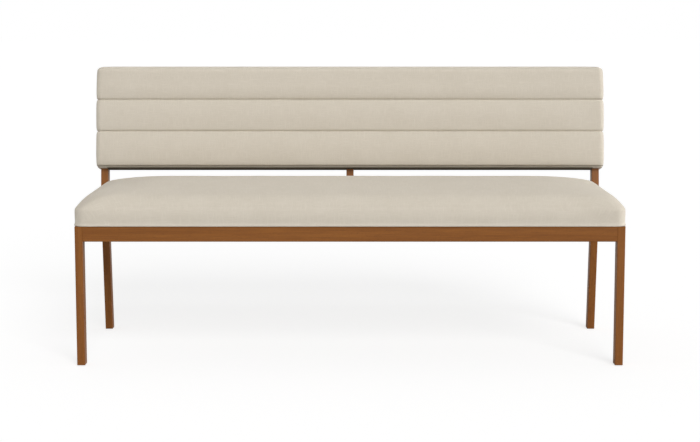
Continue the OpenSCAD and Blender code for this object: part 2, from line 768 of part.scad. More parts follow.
// Rings of the back from its lower edge up
function back_rings(deep) = concat(
    [back_ring([back_low + deep, low_tuck, low_side, under_drop, 0], deep)],
    [for (l = back_levels) back_ring(l, deep)],
    [for (l = top_levels(deep)) back_ring(l, deep)]
);

// The wadding wraps the front, the ends and the top of the back
module back_wadding() {
    core = frame_w / 2 + soft_gap;
    foam_half = core - foam_end_in;
    high = post_top + soft_gap;
    color(wadding) in_place() on_back() difference() {
        ring_stack(reversed(back_rings(cover_t + soft_gap)));
        box([-core, -panel_t - soft_gap, 0], [core, rear_n + cut, high]);
        box([-foam_half, -panel_t - back_foam_t - soft_gap, 0], [foam_half, 0, high]);
    }
}
// The cover is one shell: channelled in front, its lower edge turned in, its rear open
module back_cover() {
    low = cover_t;
    core = frame_w / 2 + soft_gap;
    hem = [for (up = [0, low]) [
        for (q = ring(-core, core, -soft_gap, rear_leg_d + soft_gap, soft_gap, soft_gap, front_corner_steps, 2))
            [q[0], q[1], under_s(q[1]) + up]
    ]];
    window = back_half - rear_turn_w;
    color(fabric) in_place() on_back() difference() {
        ring_stack(concat(reversed(back_rings(0)), hem, back_rings(cover_t)));
        box([-window, rear_n - cover_t - soft_gap, under_s(rear_n) + rear_turn_w],
            [window, rear_n + cut, back_top - rear_turn_w]);
    }
}
// Flat rear cover, sewn on just inside the edges of the back
module back_rear_cover() {
    x = back_half - rear_seam_in;
    low = under_s(rear_n) + rear_seam_in;
    r = rear_seam_in;
    color(fabric) in_place() on_back()
    translate([0, rear_n + cover_t, 0]) rotate([90, 0, 0]) linear_extrude(cover_t) {
        translate([-x + r, low]) square([2 * (x - r), rear_cover_top - low]);
        translate([-x, low + r]) square([2 * x, rear_cover_top - low - 2 * r]);
        for (i = [-1, 1], s = [low + r, rear_cover_top - r]) translate([i * (x - r), s]) circle(r);
    }
}
// Dark strip under the back, between the end posts and round the centre post
module back_dust_cover() {
    n0 = face_n + low_tuck + dust_t;
    n1 = rear_n - dust_t;
    color(dust) in_place() on_back() difference() {
        span_x(inner_w / 2 - soft_gap) polygon([
            [n0, under_s(n0) - dust_t], [n1, under_s(n1) - dust_t], [n1, under_s(n1)], [n0, under_s(n0)]
        ]);
        box([-leg_w / 2 - soft_gap, -soft_gap, 0], [leg_w / 2 + soft_gap, rear_rail_t + soft_gap, back_top]);
    }
}

front_leg_left();
front_leg_right();
rear_leg_left();
rear_leg_right();
centre_post();
front_rail();
rear_rail();
side_rail_left();
side_rail_right();
rear_bearer();
cross_rail_left();
cross_rail_centre();
cross_rail_right();
corner_block_front_left();
corner_block_front_right();
corner_block_rear_left();
corner_block_rear_right();
corner_block_screws();
bearer_screws();
seat_screws();
glide_front_left();
glide_front_right();
glide_rear_left();
glide_rear_right();
seat_deck();
seat_foam();
seat_wadding();
seat_cover();
seat_dust_cover();
back_bottom_rail();
back_top_rail();
back_stile_left();
back_stile_centre();
back_stile_right();
back_panel();
back_panel_screws();
back_board();
back_foam_low();
back_foam_middle();
back_foam_top();
back_wadding();
back_cover();
back_rear_cover();
back_dust_cover();
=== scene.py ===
import math

import bpy
import numpy as np
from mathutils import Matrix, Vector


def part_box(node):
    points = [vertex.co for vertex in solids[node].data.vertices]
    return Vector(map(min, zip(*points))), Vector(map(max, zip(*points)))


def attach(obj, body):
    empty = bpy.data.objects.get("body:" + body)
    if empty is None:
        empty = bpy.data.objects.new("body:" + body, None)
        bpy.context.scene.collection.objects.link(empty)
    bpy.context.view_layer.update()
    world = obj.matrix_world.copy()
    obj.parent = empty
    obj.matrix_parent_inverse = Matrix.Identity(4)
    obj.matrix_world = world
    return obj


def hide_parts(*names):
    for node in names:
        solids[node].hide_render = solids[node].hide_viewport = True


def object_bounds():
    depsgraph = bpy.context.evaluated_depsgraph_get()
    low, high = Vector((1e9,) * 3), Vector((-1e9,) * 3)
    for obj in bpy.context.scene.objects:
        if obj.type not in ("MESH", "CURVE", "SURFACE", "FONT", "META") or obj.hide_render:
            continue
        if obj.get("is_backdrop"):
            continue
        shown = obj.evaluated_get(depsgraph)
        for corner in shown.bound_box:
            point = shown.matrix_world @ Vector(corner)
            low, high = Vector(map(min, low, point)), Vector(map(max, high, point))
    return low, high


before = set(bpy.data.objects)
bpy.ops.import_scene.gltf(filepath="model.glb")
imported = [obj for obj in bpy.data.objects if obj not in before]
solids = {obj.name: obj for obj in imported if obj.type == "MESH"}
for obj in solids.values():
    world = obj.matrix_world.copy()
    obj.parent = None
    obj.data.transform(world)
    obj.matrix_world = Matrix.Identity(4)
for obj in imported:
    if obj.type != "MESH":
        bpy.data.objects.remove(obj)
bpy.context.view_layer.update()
print("frame loaded with", len(solids), "nodes")

mm = 0.001

# sizes that several pieces share, in mm, with Y from the front legs' front face
bench = {
    "frameWidth": 1524,
    "railTop": 392,  # top of the seat rails, where the seat and the back start
    "seatDepth": 493,  # to the bend of the rear legs
    "lean": 8,  # recline of the posts in degrees
}
# the solids are centred front to rear, so their rear edge gives the shift
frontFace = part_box("front_leg_left")[0].y


def toRow(points):  # mm from the front face to metres in the row frame
    return np.asarray(points, float) * mm + np.array([0, frontFace, 0])


def onBack(points):  # (x, rearward, up the posts) in the leaned frame of the back
    x, n, s = np.moveaxis(np.asarray(points, float), -1, 0)
    lean = math.radians(bench["lean"])
    y = bench["seatDepth"] + n * math.cos(lean) + s * math.sin(lean)
    z = bench["railTop"] - n * math.sin(lean) + s * math.cos(lean)
    return np.stack([x, y, z], -1)


# mesh helpers


def makePiece(name, points, faces, smooth=True):
    mesh = bpy.data.meshes.new(name)
    mesh.from_pydata([tuple(p) for p in points], [], [tuple(f) for f in faces])
    mesh.validate()
    mesh.update()
    piece = bpy.data.objects.new(name, mesh)
    bpy.context.scene.collection.objects.link(piece)
    if smooth:
        mesh.polygons.foreach_set("use_smooth", [True] * len(mesh.polygons))
    return piece


def setClothPlace(piece, place):  # where each point lies on the flat cloth, in metres
    layer = piece.data.attributes.new("clothPlace", "FLOAT_VECTOR", "POINT")
    layer.data.foreach_set("vector", np.asarray(place, np.float32).ravel())


def ringWalls(levels, count, start=0):  # quads between stacked rings of equal count
    faces = []
    for i in range(levels - 1):
        low, high = start + i * count, start + (i + 1) * count
        for j in range(count):
            k = (j + 1) % count
            faces.append((low + j, low + k, high + k, high + j))
    return faces


def gridFaces(index):  # quads over a 2-D table of point numbers
    a, b = index[:-1, :-1].ravel(), index[1:, :-1].ravel()
    c, d = index[1:, 1:].ravel(), index[:-1, 1:].ravel()
    return np.stack([a, b, c, d], 1).tolist()


def twoSided(name, outer, inner):  # a thin closed cloth between two tables of points
    rows, columns = outer.shape[:2]
    index = np.arange(rows * columns).reshape(rows, columns)
    back = index + rows * columns
    faces = gridFaces(index) + [f[::-1] for f in gridFaces(back)]
    rim = [*index[:, 0], *index[-1, 1:], *index[-2::-1, -1], *index[0, -2:0:-1]]
    for a, b in zip(rim, rim[1:] + rim[:1]):
        faces.append((int(a), int(a + rows * columns), int(b + rows * columns), int(b)))
    points = np.concatenate([outer.reshape(-1, 3), inner.reshape(-1, 3)])
    return makePiece(name, toRow(points), faces)


def spacedAlong(line, places):  # points of a polyline at shares of its length
    steps = np.linalg.norm(np.diff(line, axis=0), axis=1)
    run = np.concatenate([[0], np.cumsum(steps)])
    return np.stack([np.interp(places * run[-1], run, line[:, k]) for k in range(line.shape[1])], 1)


def ease(x, low, high):
    t = np.clip((x - low) / (high - low), 0, 1)
    return t * t * (3 - 2 * t)


def ripple(a, b, waves):  # gentle unevenness from a few crossed waves, about -1 to 1
    total = 0
    for lengthA, lengthB, turn, share in waves:
        total = total + share * np.sin(2 * math.pi * (a / lengthA + b / lengthB) + turn)
    return total


def meshPoints(mesh):
    flat = np.empty(len(mesh.vertices) * 3, np.float32)
    mesh.vertices.foreach_get("co", flat)
    return flat.reshape(-1, 3).astype(float)


def evenOut(mesh, field, free, passes):  # share a movement out between neighbours, as wadding does
    ends = np.empty(len(mesh.edges) * 2, np.int32)
    mesh.edges.foreach_get("vertices", ends)
    near, far = np.concatenate([ends[0::2], ends[1::2]]), np.concatenate([ends[1::2], ends[0::2]])
    count = np.maximum(np.bincount(near, minlength=len(field)), 1)
    for _ in range(passes):
        around = np.stack([np.bincount(near, field[far, k], len(field)) / count for k in range(3)], 1)
        field = field + 0.5 * free[:, None] * (around - field)
    return field


def swell(piece, held, free, normals, s):  # let pressure fill the cover out, then keep what it did
    group = piece.vertex_groups.new(name="held")
    for value in np.unique(held[held > 0]):
        group.add(np.flatnonzero(held == value).tolist(), float(value), "REPLACE")
    scene = bpy.context.scene
    modifier = piece.modifiers.new("cover", "CLOTH")
    solver = modifier.settings
    solver.quality = 6
    solver.mass = s["yarnMass"]
    solver.tension_stiffness = solver.compression_stiffness = s["stretch"]
    solver.shear_stiffness = s["shear"]
    solver.bending_stiffness = s["bend"]
    solver.air_damping = 1
    solver.use_pressure = True
    solver.uniform_pressure_force = s["pressure"]
    solver.vertex_group_mass = group.name
    solver.effector_weights.gravity = 0
    modifier.collision_settings.use_collision = False
    modifier.point_cache.frame_start = 1
    modifier.point_cache.frame_end = s["frames"]
    start = meshPoints(piece.data)
    for number in range(1, s["frames"] + 1):
        scene.frame_set(number)
    solved = piece.evaluated_get(bpy.context.evaluated_depsgraph_get())
    moved = meshPoints(solved.data) - start
    piece.modifiers.remove(modifier)
    piece.vertex_groups.remove(group)
    scene.frame_set(1)
    outward = np.sum(moved * normals, axis=1)
    sideways = moved - outward[:, None] * normals
    far = np.linalg.norm(sideways, axis=1)[:, None]
    middle, most = (outward.mean() / mm).round(2), (outward.max() / mm).round(2)
    print(piece.name, "filled out by", middle, "mm, at most", most)
    # the foam holds the cover from inside, and neither movement passes the cap
    limit = s["mostMm"] * mm
    foam = (s["smaller"] - s["give"]) * mm * free
    fuller = limit * np.tanh(np.maximum(outward - foam, 0) / limit)
    drift = sideways * limit / 2 * np.tanh(2 * far / limit) / np.maximum(far, 1e-9)
    moved = evenOut(piece.data, fuller[:, None] * normals + drift, free, s["evenPasses"])
    moved = foam[:, None] * normals + moved
    piece.data.vertices.foreach_set("co", (start + moved).astype(np.float32).ravel())
    piece.data.update()


def fillOut(piece, free, held, s):  # draw in, swell under pressure, refine once
    normals = np.empty(len(piece.data.vertices) * 3, np.float32)
    piece.data.vertices.foreach_get("normal", normals)
    normals = normals.reshape(-1, 3)
    inward = free[:, None] * normals * s["smaller"] * mm
    piece.data.vertices.foreach_set("co", (meshPoints(piece.data) - inward).astype(np.float32).ravel())
    piece.data.update()
    swell(piece, held, free, normals, s)
    finer = piece.modifiers.new("finer", "SUBSURF")
    finer.levels = finer.render_levels = 1


# materials


def hexToLinear(code):
    parts = [int(code[i : i + 2], 16) / 255 for i in (1, 3, 5)]
    linear = [c / 12.92 if c <= 0.04045 else ((c + 0.055) / 1.055) ** 2.4 for c in parts]
    return (*linear, 1)


def addNode(tree, kind, settings=None, links=None):
    node = tree.nodes.new("ShaderNode" + kind)
    for key, value in (settings or {}).items():
        if isinstance(key, str) and hasattr(node, key):
            setattr(node, key, value)
        else:
            node.inputs[key].default_value = value
    for key, source in (links or {}).items():
        tree.links.new(source, node.inputs[key])
    return node


def newMaterial(name):
    material = bpy.data.materials.new(name)
    material.use_nodes = True
    material.node_tree.nodes.clear()
    return material, material.node_tree


def closeMaterial(tree, shader):
    addNode(tree, "OutputMaterial", links={"Surface": shader.outputs[0]})


def solidPlace(tree):  # where a point lies in its solid, in mm
    place = addNode(tree, "TexCoord").outputs["Object"]
    return addNode(tree, "VectorMath", {"operation": "SCALE", "Scale": 1000}, {0: place}).outputs[0]


# Plain-woven upholstery cloth of slubby staple yarn. To the eye: matt and warm beige, with
# a fine thread grid, short thicker yarns that run both ways and a soft light at grazing angles.
cloth = {
    "yarn": "#cfc6b7",
    "yarnCool": "#c5bdaf",
    "slub": "#d8d0c3",
    "shade": "#b9af9e",
    "fuzz": "#f3efe9",
    "threadMm": 1.3,  # spacing of the yarns
    "slubLongMm": 34,
    "slubThickMm": 2.6,  # twice the real yarn, so that it still shows at a few pixels
    "slubShare": 0.55,
    "wanderMm": 20,  # the yarns leave their grid over this length
    "wanderByMm": 1.6,
    "mottleMm": 90,
    "mottleShare": 0.16,
    "roughness": 0.88,
    "shine": 0.25,
    "sheen": 0.13,
    "reliefMm": 0.28,
    "relief": 0.6,
}


def wovenCloth(name, s):
    material, tree = newMaterial(name)
    place = addNode(tree, "Attribute", {"attribute_name": "clothPlace"}).outputs["Vector"]
    inMm = addNode(tree, "VectorMath", {"operation": "SCALE", "Scale": 1000}, {0: place}).outputs[0]
    # yarns wander a little from their grid
    wander = addNode(tree, "TexNoise", {"Scale": 1 / s["wanderMm"], "Detail": 2}, {"Vector": inMm}).outputs["Color"]
    reach = (s["wanderByMm"], s["wanderByMm"], 0)
    shift = addNode(tree, "VectorMath", {"operation": "MULTIPLY_ADD", 1: reach}, {0: wander, 2: inMm}).outputs[0]
    turns = math.pi / s["threadMm"]
    phase = addNode(tree, "VectorMath", {"operation": "SCALE", "Scale": turns}, {0: shift}).outputs[0]
    split = addNode(tree, "SeparateXYZ", links={0: phase})
    warp = addNode(tree, "Math", {"operation": "SINE"}, {0: split.outputs[0]}).outputs[0]
    weft = addNode(tree, "Math", {"operation": "SINE"}, {0: split.outputs[1]}).outputs[0]
    cross = addNode(tree, "Math", {"operation": "MULTIPLY"}, {0: warp, 1: weft}).outputs[0]
    knuckle = addNode(tree, "Math", {"operation": "ABSOLUTE"}, {0: cross}).outputs[0]  # each crossing stands up
    top = addNode(tree, "MapRange", {"From Min": -0.4, "From Max": 0.4}, {"Value": cross}).outputs[0]
    # slubs along each yarn direction
    slubs = []
    for along, across in ((0, 1), (1, 0)):
        scale = [0.0, 0.0, 0.0]
        scale[along], scale[across] = 1 / s["slubLongMm"], 1 / s["slubThickMm"]
        stretched = addNode(tree, "Mapping", {"Scale": tuple(scale)}, {"Vector": inMm}).outputs[0]
        noise = addNode(tree, "TexNoise", {"Scale": 1, "Detail": 3, "Roughness": 0.6}, {"Vector": stretched})
        slubs.append(noise.outputs["Fac"])
    slub = addNode(tree, "Math", {"operation": "MAXIMUM"}, {0: slubs[0], 1: slubs[1]}).outputs[0]
    slub = addNode(tree, "MapRange", {"From Min": 0.48, "From Max": 0.78}, {"Value": slub}).outputs[0]
    slubShare = addNode(tree, "Math", {"operation": "MULTIPLY", 1: s["slubShare"]}, {0: slub}).outputs[0]
    mottle = addNode(tree, "TexNoise", {"Scale": 1 / s["mottleMm"], "Detail": 3}, {"Vector": inMm}).outputs["Fac"]
    limits = {"From Min": 0.35, "From Max": 0.7, "To Max": s["mottleShare"]}
    mottleShare = addNode(tree, "MapRange", limits, {"Value": mottle}).outputs[0]
    # the two yarns, then the mottle of the dyeing, then the slubs
    tones = {"data_type": "RGBA", 6: hexToLinear(s["yarn"]), 7: hexToLinear(s["yarnCool"])}
    colour = addNode(tree, "Mix", tones, {0: top}).outputs[2]
    for tone, share in (("shade", mottleShare), ("slub", slubShare)):
        over = {"data_type": "RGBA", 7: hexToLinear(s[tone])}
        colour = addNode(tree, "Mix", over, {0: share, 6: colour}).outputs[2]
    height = addNode(tree, "Math", {"operation": "MULTIPLY_ADD", 1: 0.5}, {0: slub, 2: knuckle}).outputs[0]
    relief = {"Strength": s["relief"], "Distance": s["reliefMm"] * mm}
    bump = addNode(tree, "Bump", relief, {"Height": height}).outputs[0]
    limits = {"To Min": s["roughness"] + 0.05, "To Max": s["roughness"] - 0.06}
    rough = addNode(tree, "MapRange", limits, {"Value": knuckle}).outputs[0]
    settings = {"Specular IOR Level": s["shine"], "Sheen Weight": s["sheen"], "Sheen Roughness": 0.5}
    settings["Sheen Tint"] = hexToLinear(s["fuzz"])
    shader = addNode(tree, "BsdfPrincipled", settings, {"Base Color": colour, "Roughness": rough, "Normal": bump})
    closeMaterial(tree, shader)
    return material


upholstery = wovenCloth("plain-woven upholstery cloth", cloth)

# Non-woven polypropylene dust cloth, pressed from short fibres. To the eye: dark, flat and
# faintly felted, with a small pressed dot pattern. Its dark tone is partly painted shade: the
# cloth is darkened to stand for the deep shade in the narrow strip under the back.
dustClothAndPaintedShade = {
    # both tones are darker than the cloth alone: painted shade for the strip under the back
    "fibre": "#6c6555",
    "dark": "#524c3f",
    "dotMm": 2.4,
    "feltMm": 6,
    "roughness": 0.92,
    "shine": 0.02,
    "reliefMm": 0.2,
}


def nonWoven(name, s):
    material, tree = newMaterial(name)
    inMm = solidPlace(tree)
    detail = {"Scale": 1 / s["feltMm"], "Detail": 5, "Roughness": 0.7}
    felt = addNode(tree, "TexNoise", detail, {"Vector": inMm}).outputs["Fac"]
    detail = {"Scale": 1 / s["dotMm"], "Randomness": 0.15}
    dots = addNode(tree, "TexVoronoi", detail, {"Vector": inMm}).outputs["Distance"]
    pressed = addNode(tree, "MapRange", {"From Min": 0.18, "From Max": 0.34}, {"Value": dots}).outputs[0]
    mixed = addNode(tree, "Math", {"operation": "MULTIPLY"}, {0: felt, 1: pressed}).outputs[0]
    tones = {"data_type": "RGBA", 6: hexToLinear(s["dark"]), 7: hexToLinear(s["fibre"])}
    colour = addNode(tree, "Mix", tones, {0: mixed}).outputs[2]
    bump = addNode(tree, "Bump", {"Strength": 0.5, "Distance": s["reliefMm"] * mm}, {"Height": mixed}).outputs[0]
    limits = {"To Min": s["roughness"], "To Max": s["roughness"] - 0.12}
    rough = addNode(tree, "MapRange", limits, {"Value": pressed}).outputs[0]
    links = {"Base Color": colour, "Roughness": rough, "Normal": bump}
    closeMaterial(tree, addNode(tree, "BsdfPrincipled", {"Specular IOR Level": s["shine"]}, links))
    return material


# the dark dust cloth, its tone partly painted shade
underClothAndPaintedShade = nonWoven("non-woven dust cloth, darkened as painted shade", dustClothAndPaintedShade)

# Solid beech, planed, stained brown and sprayed with satin lacquer. To the eye: long streaks
# along the grain, short darker flecks in them and a soft broad highlight over it all.
stain = {
    "light": "#8f5a27",
    "body": "#814e1f",
    "dark": "#663a19",
    "fleck": "#4e2a10",
    "bandLongMm": 420,
    "bandWideMm": 11,
    "fibreLongMm": 70,
    "fibreWideMm": 1.6,
    "fleckLongMm": 7,
    "fleckWideMm": 0.7,
    "roughness": 0.4,
    "lacquer": 0.06,
    "shine": 0.2,
    "reliefMm": 0.06,
}
# Softwood of the hidden frame, planed and left bare. To the eye: pale, matt, with wide bands.
bareWood = {
    "light": "#d8bd8c",
    "body": "#c9a877",
    "dark": "#b08a58",
    "fleck": "#94703f",
    "bandLongMm": 500,
    "bandWideMm": 8,
    "fibreLongMm": 60,
    "fibreWideMm": 1.4,
    "fleckLongMm": 9,
    "fleckWideMm": 0.8,
    "roughness": 0.72,
    "lacquer": 0.0,
    "shine": 0.3,
    "reliefMm": 0.12,
}
# Birch plywood, rotary cut and sanded. To the eye: pale, with broad wandering figure.
birchPly = {
    "light": "#dcc69a",
    "body": "#cdb283",
    "dark": "#bd9c6a",
    "fleck": "#a5844f",
    "bandLongMm": 300,
    "bandWideMm": 26,
    "fibreLongMm": 24,
    "fibreWideMm": 1.2,
    "fleckLongMm": 4,
    "fleckWideMm": 0.5,
    "roughness": 0.66,
    "lacquer": 0.0,
    "shine": 0.3,
    "reliefMm": 0.08,
}


def grainedWood(name, s, along, seed):
    material, tree = newMaterial(name)
    inMm = solidPlace(tree)

    def figure(kind, detail, offset, low, high):  # noise drawn out along the grain
        scale = [1 / s[kind + "WideMm"]] * 3
        scale[along] = 1 / s[kind + "LongMm"]
        spot = (seed * 3.7 + offset, seed * 5.1 + offset, seed * 2.3)
        stretched = addNode(tree, "Mapping", {"Scale": tuple(scale), "Location": spot}, {"Vector": inMm}).outputs[0]
        settings = {"Scale": 1, "Detail": detail, "Roughness": 0.55, "Distortion": 0.35}
        noise = addNode(tree, "TexNoise", settings, {"Vector": stretched}).outputs["Fac"]
        return addNode(tree, "MapRange", {"From Min": low, "From Max": high}, {"Value": noise}).outputs[0]

    band = figure("band", 3, 0, 0.32, 0.68)
    fibre = figure("fibre", 4, 11, 0.35, 0.7)
    fleck = figure("fleck", 1, 23, 0.6, 0.74)
    tones = {"data_type": "RGBA", 6: hexToLinear(s["body"]), 7: hexToLinear(s["light"])}
    colour = addNode(tree, "Mix", tones, {0: band}).outputs[2]
    for tone, mark, most in (("dark", fibre, 0.5), ("fleck", fleck, 0.45)):
        share = addNode(tree, "Math", {"operation": "MULTIPLY", 1: most}, {0: mark}).outputs[0]
        over = {"data_type": "RGBA", 7: hexToLinear(s[tone])}
        colour = addNode(tree, "Mix", over, {0: share, 6: colour}).outputs[2]
    pores = addNode(tree, "Math", {"operation": "ADD"}, {0: fibre, 1: fleck}).outputs[0]
    relief = {"Strength": 0.5, "Distance": s["reliefMm"] * mm, "invert": True}
    bump = addNode(tree, "Bump", relief, {"Height": pores}).outputs[0]
    limits = {"To Min": s["roughness"] - 0.05, "To Max": s["roughness"] + 0.08}
    rough = addNode(tree, "MapRange", limits, {"Value": fibre}).outputs[0]
    settings = {"Coat Weight": s["lacquer"], "Coat Roughness": 0.25, "Specular IOR Level": s["shine"]}
    shader = addNode(tree, "BsdfPrincipled", settings, {"Base Color": colour, "Roughness": rough, "Normal": bump})
    closeMaterial(tree, shader)
    return material


stainedAlong = [grainedWood("stained beech, grain along " + axis, stain, k, k + 1) for k, axis in enumerate("XYZ")]
bareAlong = [grainedWood("planed softwood, grain along " + axis, bareWood, k, k + 5) for k, axis in enumerate("XYZ")]
plywood = grainedWood("sanded birch plywood", birchPly, 0, 9)

# Carbon steel screws, zinc plated. To the eye: a cool grey shine, faintly clouded.
zinc = {
    "body": "#8f9296",
    "patch": "#b4b6b9",
    "patchMm": 1.6,
    "detail": 4,
    "roughness": (0.26, 0.46),
    "metallic": 1,
    "relief": 0.2,
    "reliefMm": 0.03,
}
# Injection-moulded nylon glides. To the eye: dark brown, half matt, lightly scuffed.
nylonGlide = {
    "body": "#4a3a2c",
    "patch": "#5e4c3b",
    "patchMm": 0.8,
    "detail": 3,
    "roughness": (0.44, 0.64),
    "metallic": 0,
    "relief": 0.3,
    "reliefMm": 0.05,
}


def hardware(name, s):  # screws and glides, with soft patches in colour and gloss
    material, tree = newMaterial(name)
    settings = {"Scale": 1 / s["patchMm"], "Detail": s["detail"]}
    patch = addNode(tree, "TexNoise", settings, {"Vector": solidPlace(tree)}).outputs["Fac"]
    tones = {"data_type": "RGBA", 6: hexToLinear(s["body"]), 7: hexToLinear(s["patch"])}
    colour = addNode(tree, "Mix", tones, {0: patch}).outputs[2]
    low, high = s["roughness"]
    rough = addNode(tree, "MapRange", {"To Min": low, "To Max": high}, {"Value": patch}).outputs[0]
    relief = {"Strength": s["relief"], "Distance": s["reliefMm"] * mm}
    bump = addNode(tree, "Bump", relief, {"Height": patch}).outputs[0]
    links = {"Base Color": colour, "Roughness": rough, "Normal": bump}
    closeMaterial(tree, addNode(tree, "BsdfPrincipled", {"Metallic": s["metallic"]}, links))
    return material


steel = hardware("zinc-plated steel", zinc)
nylon = hardware("moulded nylon", nylonGlide)

corners = ["front_left", "front_right", "rear_left", "rear_right"]
finishOf = {
    stainedAlong[0]: ["front_rail", "rear_rail"],
    stainedAlong[1]: ["side_rail_left", "side_rail_right"],
    stainedAlong[2]: ["front_leg_left", "front_leg_right", "rear_leg_left", "rear_leg_right", "centre_post"],
    bareAlong[0]: ["rear_bearer", "back_bottom_rail", "back_top_rail", *("corner_block_" + c for c in corners)],
    bareAlong[1]: ["cross_rail_left", "cross_rail_centre", "cross_rail_right"],
    bareAlong[2]: ["back_stile_left", "back_stile_centre", "back_stile_right"],
    plywood: ["seat_deck", "back_panel", "back_board"],
    steel: ["corner_block_screws", "bearer_screws", "seat_screws", "back_panel_screws"],
    nylon: ["glide_" + c for c in corners],
}
for material, names in finishOf.items():
    for name in names:
        solids[name].data.materials.clear()
        solids[name].data.materials.append(material)
print("materials made and given to the wooden frame")

# Seat: one tight cover over a crowned foam block, its edges rolled over and drawn in below
seat = {
    "depth": 490,  # from the frame's front face to just before the posts
    "wideUp": 46.7,  # widest line above the rails
    "bulge": 3.0,
    "edgeOut": 1.6,
    "edgeRound": 2.0,  # rounding of the lower edge
    "lip": 2.6,  # the lower edge stands out by this, which leaves the thin shadow on the rail
    "lipUp": 8,
    "lift": 0.4,  # gap between the cover and the rails
    "hem": 22,  # how far the cover turns in below
    "hemThick": 0.9,
    "wallRows": (0.03, 0.07, 0.12, 0.18, 0.28, 0.45, 0.62, 0.8, 1),
    "rollIn": 26.5,  # where the roll over the edge meets the crown, inward and up
    "rollUp": 36.0,
    "rollHandleUp": 0.09,
    "rollHandleIn": 0.05,
    "crown": 30.1,
    "ridgeHalf": 3,
    "cornerRadius": 26,
    "frontGrowth": 1.2,  # how fast the corners open out over the roll, front and rear
    "rearGrowth": 0.31,
    "fieldInset": 62,  # where the rings give way to the field of the crown
    "soften": 5,  # the front's shoulder is rounder than the ends'
    "softenUp": 49,
    "softenSpan": 13,
    "softenIn": (30, 60),  # that fades out inward and towards the ends
    "softenEnd": (25, 130),
    "smoothPasses": 9,  # rounding of the section, in full from the second of these insets on
    "smoothIn": (4, 16),
    "cell": 14,
    "rowMm": 6,
    "cornerDense": 2.6,  # how much closer the points lie on the corners
    "freeUp": (3, 26),  # the cover is held below this and free above it
    "heldRings": 16,  # counted from the hem
    "waves": [(260, 410, 0.3, 0.5), (-173, 240, 1.9, 0.35), (97, 150, 4.1, 0.15)],
    "smaller": 2.0,  # the foam is cut a little under size, and the pressure fills the cover out
    "give": 0.1,  # how far the foam lets the cover in
    "evenness": 0.3,  # height of the waves that hand work leaves
    "yarnMass": 0.3,
    "stretch": 60,
    "shear": 30,
    "bend": 2,
    "pressure": 3,
    "frames": 12,
    "mostMm": 1.2,
    "evenPasses": 90,
}


def seatSection(s):  # (inset, height) from the hem up to the field of the crown
    low, wide = bench["railTop"] + s["lift"], bench["railTop"] + s["wideUp"]
    r = s["edgeRound"]
    edge = [[s["hem"] + 0.6, low + s["hemThick"]], [s["hem"], low], [s["hem"] / 2, low]]
    for a in np.radians(np.linspace(-90, 0, 5)):  # small round at the lower edge
        edge.append([-s["edgeOut"] - s["lip"] + r - r * math.cos(a), low + r + r * math.sin(a)])
    wall = []
    for share in s["wallRows"]:
        z = low + r + (wide - low - r) * share
        rise = (z - bench["railTop"]) / s["wideUp"]
        out = s["edgeOut"] + (s["bulge"] - s["edgeOut"]) * math.sin(math.pi / 2 * rise)
        out += s["lip"] * (1 - ease(z, low + r, low + r + s["lipUp"]))
        wall.append([-out, z])
    a = np.array([-s["bulge"], wide])
    b = a + [0, s["rollUp"] * s["rollHandleUp"]]
    crownRun = s["depth"] / 2 - s["ridgeHalf"] - s["rollIn"]
    slope = np.array([crownRun, 2 * s["crown"]])
    slope = slope / np.linalg.norm(slope)
    d = np.array([s["rollIn"], wide + s["rollUp"]])
    c = d - slope * s["rollIn"] * s["rollHandleIn"]
    t = np.linspace(0, 1, 40)[1:, None]
    roll = (1 - t) ** 3 * a + 3 * (1 - t) ** 2 * t * b + 3 * (1 - t) * t * t * c + t**3 * d
    inset = np.linspace(s["rollIn"], s["fieldInset"], 12)[1:]
    crown = np.stack([inset, crownHeight(s, inset)], 1)
    upper = np.concatenate([[a], roll, crown])
    length = np.linalg.norm(np.diff(upper, axis=0), axis=1).sum()
    upper = spacedAlong(upper, np.linspace(0, 1, round(length / s["rowMm"]) + 1))
    for number in range(s["smoothPasses"]):  # the foam's cut edges round off under the wadding
        softer = (upper[:-2] + 2 * upper[1:-1] + upper[2:]) / 4
        share = ease(upper[1:-1, :1], *s["smoothIn"]) if number else 1
        upper[1:-1] += share * (softer - upper[1:-1])
    return np.concatenate([edge, wall, upper[1:]])


def crownHeight(s, inset):
    run = s["depth"] / 2 - s["ridgeHalf"] - s["rollIn"]
    t = np.clip((inset - s["rollIn"]) / run, 0, 1)
    return bench["railTop"] + s["wideUp"] + s["rollUp"] + s["crown"] * (1 - (1 - t) ** 2)


def planRadius(s, inset, growth):
    return s["cornerRadius"] + inset * np.where(inset < 0, -1, growth)


def roundedSide(halfX, halfY, r, count, dense):
    # one side of a rounded rectangle, from the middle of a corner of radius r[0] to the
    # middle of the next of radius r[1], with its points closer together on the corners
    angles = np.radians(np.linspace(225, 270, 10))
    cos, sin = np.cos(angles), np.sin(angles)
    left = np.stack([-halfX + r[0] + r[0] * cos, -halfY + r[0] + r[0] * sin], 1)
    right = np.stack([halfX - r[1] - r[1] * cos, -halfY + r[1] + r[1] * sin], 1)[::-1]
    line = np.concatenate([left, right])
    steps = np.linalg.norm(np.diff(line, axis=0), axis=1)
    weight = np.where(np.arange(len(steps)) == len(left) - 1, 1.0, dense)
    run = np.concatenate([[0], np.cumsum(steps * weight)])
    at = np.linspace(0, run[-1], count + 1)
    return np.stack([np.interp(at, run, line[:, 0]), np.interp(at, run, line[:, 1])], 1)


def roundedRing(halfX, halfY, front, rear, countX, countY, dense):
    near = roundedSide(halfX, halfY, (front, front), countX, dense)[:-1]
    far = roundedSide(halfX, halfY, (rear, rear), countX, dense)[:-1]
    end = roundedSide(halfY, halfX, (front, rear), countY, dense)
    right = (end @ np.array([[0, 1], [-1, 0]]))[:-1]
    left = (end[::-1] @ np.array([[0, 1], [1, 0]]))[:-1]
    return np.concatenate([near, right, -far, left])


